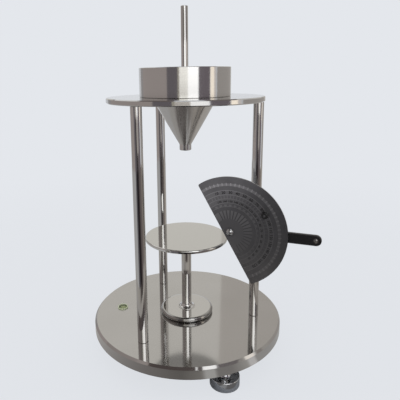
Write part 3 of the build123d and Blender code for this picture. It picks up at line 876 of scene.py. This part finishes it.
# panels of a light tent: azimuth from the front, to the right positive, and elevation, in degrees
panels = (
    {"name": "softbox", "azimuth": (5, 30), "elevation": (13, 31), "colour": "#FFFFFF", "power": 2.0},
    {"name": "softboxSill", "azimuth": (5, 30), "elevation": (9, 13), "colour": "#FFFFFF", "power": 1.4},
    {"name": "softboxWing", "azimuth": (-15, 5), "elevation": (13, 22), "colour": "#FFFEF8", "power": 1.65},
    {"name": "wingMiddle", "azimuth": (-15, 5), "elevation": (22, 27.5), "colour": "#D2CFCA"},
    {"name": "wingTop", "azimuth": (-15, 5), "elevation": (27.5, 31), "colour": "#FFFEF8", "power": 1.6},
    {"name": "wingSill", "azimuth": (-15, 5), "elevation": (9, 13), "colour": "#D0CAC4"},
    {"name": "softboxHead", "azimuth": (0, 45), "elevation": (31, 40), "colour": "#FFFFFF", "power": 2.2},
    {"name": "headEdge", "azimuth": (-15, 0), "elevation": (31, 40), "colour": "#FFFEF8", "power": 1.2},
    {"name": "headRight", "azimuth": (45, 68.5), "elevation": (31, 40), "colour": "#A8A4A0"},
    {"name": "softboxTop", "azimuth": (17.5, 35), "elevation": (40, 66), "colour": "#FFFFFF", "power": 1.45},
    {"name": "softboxEdge", "azimuth": (-19, -15), "elevation": (9, 40), "colour": "#B8B3A7"},
    {"name": "softboxFoot", "azimuth": (-19, 15), "elevation": (-6, 2.5), "colour": "#4A4446"},
    {"name": "footRight", "azimuth": (15, 31), "elevation": (-6, 2.5), "colour": "#7C7476"},
    {"name": "kickLeft", "azimuth": (-19, -3), "elevation": (2.5, 9), "colour": "#3E383A"},
    {"name": "kickRight", "azimuth": (-3, 31), "elevation": (2.5, 9), "colour": "#B4AEAA"},
    {"name": "flagLeft", "azimuth": (-45, -19), "elevation": (-6, 22), "colour": "#746F74"},
    {"name": "flagCorner", "azimuth": (-45, -19), "elevation": (22, 27.5), "colour": "#6A6663"},
    {"name": "flagUpper", "azimuth": (-45, -19), "elevation": (27.5, 40), "colour": "#948F8B"},
    {"name": "flagAbove", "azimuth": (-50, 8.5), "elevation": (40, 62), "colour": "#5C5452"},
    {"name": "spotLamp", "azimuth": (8.5, 11.5), "elevation": (40, 62), "colour": "#FFFFFF"},
    {"name": "flagBeside", "azimuth": (11.5, 17.5), "elevation": (40, 62), "colour": "#5C5452"},
    {"name": "flagRight", "azimuth": (31, 60), "elevation": (-6, 31), "colour": "#7B7379"},
    {"name": "flagRightTop", "azimuth": (35, 68.5), "elevation": (40, 62), "colour": "#7C7677"},
    {"name": "stripLight", "azimuth": (61, 72), "elevation": (8, 22), "colour": "#FFF4E4", "power": 1.55},
    {"name": "stripTop", "azimuth": (68.5, 80), "elevation": (31, 58), "colour": "#FFF8F0", "power": 1.25},
    {"name": "stripGap", "azimuth": (60, 68.5), "elevation": (22, 31), "colour": "#9A9490"},
    {"name": "stripFrame", "azimuth": (72, 78), "elevation": (-6, 22), "colour": "#EAE3E0"},
    {"name": "wallLeft", "azimuth": (-126, -45), "elevation": (-6, 22), "colour": "#AEA5A2"},
    {"name": "wallLeftMiddle", "azimuth": (-126, -45), "elevation": (22, 40), "colour": "#A29A97"},
    {"name": "wallLeftTop", "azimuth": (-108, -50), "elevation": (40, 58), "colour": "#AEA5A2"},
    {"name": "wallEdge", "azimuth": (-139, -126), "elevation": (-6, 40), "colour": "#A4A1A1"},
    {"name": "wallRight", "azimuth": (81, 147), "elevation": (-6, 22), "colour": "#B1ACA8"},
    {"name": "wallRightMiddle", "azimuth": (68.5, 90), "elevation": (22, 31), "colour": "#9C9692"},
    {"name": "wallRightFar", "azimuth": (90, 147), "elevation": (22, 31), "colour": "#B6B2AD"},
    {"name": "wallRightTop", "azimuth": (81, 100), "elevation": (31, 58), "colour": "#B1ACA8"},
    {"name": "skyLeft", "azimuth": (-139, -108), "elevation": (40, 62), "colour": "#FFFFFF"},
    {"name": "skyRight", "azimuth": (100, 147), "elevation": (31, 58), "colour": "#DEDCD8"},
    {"name": "ceilingFront", "azimuth": (-50, 16.5), "elevation": (62, 76), "colour": "#6E6664"},
    {"name": "ceilingLeft", "azimuth": (-108, -50), "elevation": (58, 86), "colour": "#746C6A"},
    {"name": "ceilingRight", "azimuth": (68.5, 130), "elevation": (58, 86), "colour": "#7E7674"},
    {"name": "backLeft", "azimuth": (-158, -139), "elevation": (9, 21), "colour": "#D6D8DC"},
    {"name": "backRight", "azimuth": (147, 160), "elevation": (9, 21), "colour": "#C9C7C3"},
    {"name": "wallBack", "azimuth": (171, 221), "elevation": (21, 76), "colour": "#DAD7D1"},
    {"name": "wallBackRight", "azimuth": (147, 171), "elevation": (21, 76), "colour": "#C3BEB8"},
)
# rings on the floor round the stand, (near, far) in m, with the tone at each azimuth; the darker tones of the
# near rings in front of the stand are its shadow, painted onto them
floorRings = (
    {"name": "paperNear", "reach": (0.118, 0.163), "tones": (
        (-180, "#C0BDB9"), (-75, "#AFACAA"), (-30, "#868280"), (-6, "#73706D"), (8, "#8C8985"),
        (11, "#C0BFBD"), (17, "#C0BFBD"), (19, "#8F8C8A"), (30, "#8F8C8A"), (43, "#B4B2AE"),
        (45, "#DCDADA"), (50, "#DCDADA"), (52, "#ACAAA8"), (100, "#ACABAA"), (180, "#C0BDB9"),
    )},
    {"name": "paperShade", "reach": (0.163, 0.205), "tones": (
        (-180, "#BAB7B4"), (-76, "#A5A29F"), (-62, "#5A5250"), (8, "#565050"), (30, "#807975"),
        (55, "#A09A94"), (75, "#9A948E"), (140, "#B4B0AB"), (180, "#BAB7B4"),
    )},
    {"name": "paperMid", "reach": (0.205, 0.24), "tones": (
        (-180, "#AFADAB"), (-110, "#B4B2B0"), (-30, "#A9A5A1"), (28, "#B8B3AC"), (80, "#A6A09A"),
        (180, "#AFADAB"),
    )},
    {"name": "paperFar", "reach": (0.24, 0.29), "tones": (
        (-180, "#AFADAB"), (-43, "#AEAAA4"), (-28, "#98938E"), (-12, "#544E4C"), (12, "#4C4544"),
        (28, "#8C8682"), (50, "#B4AFA9"), (80, "#8C8680"), (105, "#AAA5A0"), (180, "#AFADAB"),
    )},
    {"name": "room", "reach": (0.29, 1.15), "tones": (
        (-180, "#B5B3B1"), (-43, "#BBBBBC"), (-41, "#6A686C"), (-23, "#69666A"), (-21, "#262226"),
        (-1, "#262226"), (1, "#413A3B"), (17, "#413A3B"), (19, "#6C6464"), (45, "#746C6A"),
        (90, "#A0978F"), (104, "#BDB8B2"), (180, "#B5B3B1"),
    )},
)


def addFloor(setup):
    # seamless paper: pale and even, it takes a faint shadow and has no far edge
    material, tree = startMaterial("seamless paper")
    place = addNode(tree, "ShaderNodeTexCoord").outputs["Object"]
    away = addNode(tree, "ShaderNodeVectorMath", links={0: place}, operation="LENGTH")
    start, end = setup["fade"]
    fade = addNode(
        tree, "ShaderNodeMapRange", {"From Min": start, "From Max": end}, {"Value": away.outputs["Value"]},
        interpolation_type="SMOOTHSTEP",
    )
    fibre = addNode(
        tree, "ShaderNodeTexNoise", {"Scale": perMm(setup["fibre"]), "Detail": 2.0}, {"Vector": place},
    )
    bump = addNode(
        tree, "ShaderNodeBump", {"Strength": setup["bump"], "Distance": setup["bumpDepth"] * mm},
        {"Height": fibre.outputs[0]},
    )
    colour = toLinear(setup["backdrop"])
    paper = addNode(tree, "ShaderNodeBsdfDiffuse", {"Color": colour}, {"Normal": bump.outputs[0]})
    glow = addNode(tree, "ShaderNodeEmission", {"Color": colour})
    ray = addNode(tree, "ShaderNodeLightPath").outputs
    even = 1 - setup["shadowShare"]
    share = addNode(tree, "ShaderNodeMath", {1: even}, {0: ray["Is Camera Ray"]}, operation="MULTIPLY")
    lit = addNode(
        tree, "ShaderNodeMixShader", links={0: share.outputs[0], 1: paper.outputs[0], 2: glow.outputs[0]},
    )
    clear = addNode(tree, "ShaderNodeBsdfTransparent")
    out = addNode(
        tree, "ShaderNodeMixShader", links={0: fade.outputs[0], 1: lit.outputs[0], 2: clear.outputs[0]},
    )
    addNode(tree, "ShaderNodeOutputMaterial", links={"Surface": out.outputs[0]})
    sides = setup["floorSides"]
    turns = [2 * math.pi * i / sides for i in range(sides)]
    rim = [Vector((math.cos(turn), math.sin(turn), 0)) * setup["floorRadius"] for turn in turns]
    floor = addMesh("floor", rim, [list(range(sides))], material)


def addWorld(setup):
    # the backdrop is what is seen or mirrored, the fill only lights
    world = bpy.data.worlds.new("studio")
    world.use_nodes = True
    tree = world.node_tree
    tree.nodes.clear()
    ray = addNode(tree, "ShaderNodeLightPath").outputs
    mirrored = addNode(
        tree, "ShaderNodeMath", links={0: ray["Is Camera Ray"], 1: ray["Is Glossy Ray"]},
        operation="MAXIMUM",
    )
    seen = addNode(
        tree, "ShaderNodeMath", links={0: mirrored.outputs[0], 1: ray["Is Transmission Ray"]},
        operation="MAXIMUM",
    )
    fill = addNode(
        tree, "ShaderNodeBackground", {"Color": toLinear(setup["fill"]), "Strength": setup["fillLevel"]},
    )
    backdrop = addNode(tree, "ShaderNodeBackground", {"Color": toLinear(setup["backdrop"]), "Strength": 1.0})
    mix = addNode(
        tree, "ShaderNodeMixShader", links={0: seen.outputs[0], 1: fill.outputs[0], 2: backdrop.outputs[0]},
    )
    addNode(tree, "ShaderNodeOutputWorld", links={"Surface": mix.outputs[0]})
    scene.world = world


def plainCard(panel):
    material, tree = startMaterial("card " + panel["name"])
    light = {"Color": toLinear(panel["colour"]), "Strength": panel.get("power", 1.0)}
    glow = addNode(tree, "ShaderNodeEmission", light)
    addNode(tree, "ShaderNodeOutputMaterial", links={"Surface": glow.outputs[0]})
    return material


def shadedCard(setup, ring):
    material, tree = startMaterial("card " + ring["name"])
    place = addNode(tree, "ShaderNodeTexCoord").outputs["Object"]
    toFront = (0, 0, math.radians(-setup["front"]))
    turned = addNode(tree, "ShaderNodeMapping", {"Rotation": toFront}, {"Vector": place})
    around = addNode(
        tree, "ShaderNodeTexGradient", links={"Vector": turned.outputs[0]}, gradient_type="RADIAL",
    )
    tone = addNode(tree, "ShaderNodeValToRGB", links={"Fac": around.outputs[1]})
    stops = tone.color_ramp.elements
    while len(stops) < len(ring["tones"]):
        stops.new(1.0)
    for stop, (azimuth, colour) in zip(stops, ring["tones"]):
        stop.position, stop.color = 0.5 + azimuth / 360, toLinear(colour)
    glow = addNode(tree, "ShaderNodeEmission", links={"Color": tone.outputs[0]})
    addNode(tree, "ShaderNodeOutputMaterial", links={"Surface": glow.outputs[0]})
    return material


def addCard(name, corners, rows, columns, material):
    faces = []
    for row in range(rows):
        for column in range(columns):
            a = row * (columns + 1) + column
            faces.append((a, a + 1, a + columns + 2, a + columns + 1))
    card = addMesh(name, corners, faces, material)
    card.visible_camera = card.visible_diffuse = card.visible_shadow = card.visible_transmission = False


def spread(span, count):
    return [span[0] + (span[1] - span[0]) * i / count for i in range(count + 1)]


def aim(setup, azimuth, elevation):
    turn, rise = math.radians(setup["front"] + azimuth), math.radians(elevation)
    return Vector((math.cos(turn) * math.cos(rise), math.sin(turn) * math.cos(rise), math.sin(rise)))


def addTent(setup):
    rows, columns = setup["panelGrid"]
    for panel in panels:
        corners = [
            aim(setup, azimuth, elevation) * setup["tentRadius"]
            for elevation in spread(panel["elevation"], rows) for azimuth in spread(panel["azimuth"], columns)
        ]
        addCard(panel["name"], corners, rows, columns, plainCard(panel))
    rows, columns = setup["ringGrid"]
    lift = upright * setup["ringLift"] * mm
    for ring in floorRings:
        corners = [
            aim(setup, azimuth, 0) * reach + lift
            for reach in spread(ring["reach"], rows) for azimuth in spread((-180, 180), columns)
        ]
        addCard(ring["name"], corners, rows, columns, shadedCard(setup, ring))


addFloor(studio)
addWorld(studio)
addTent(studio)
print("stage done")
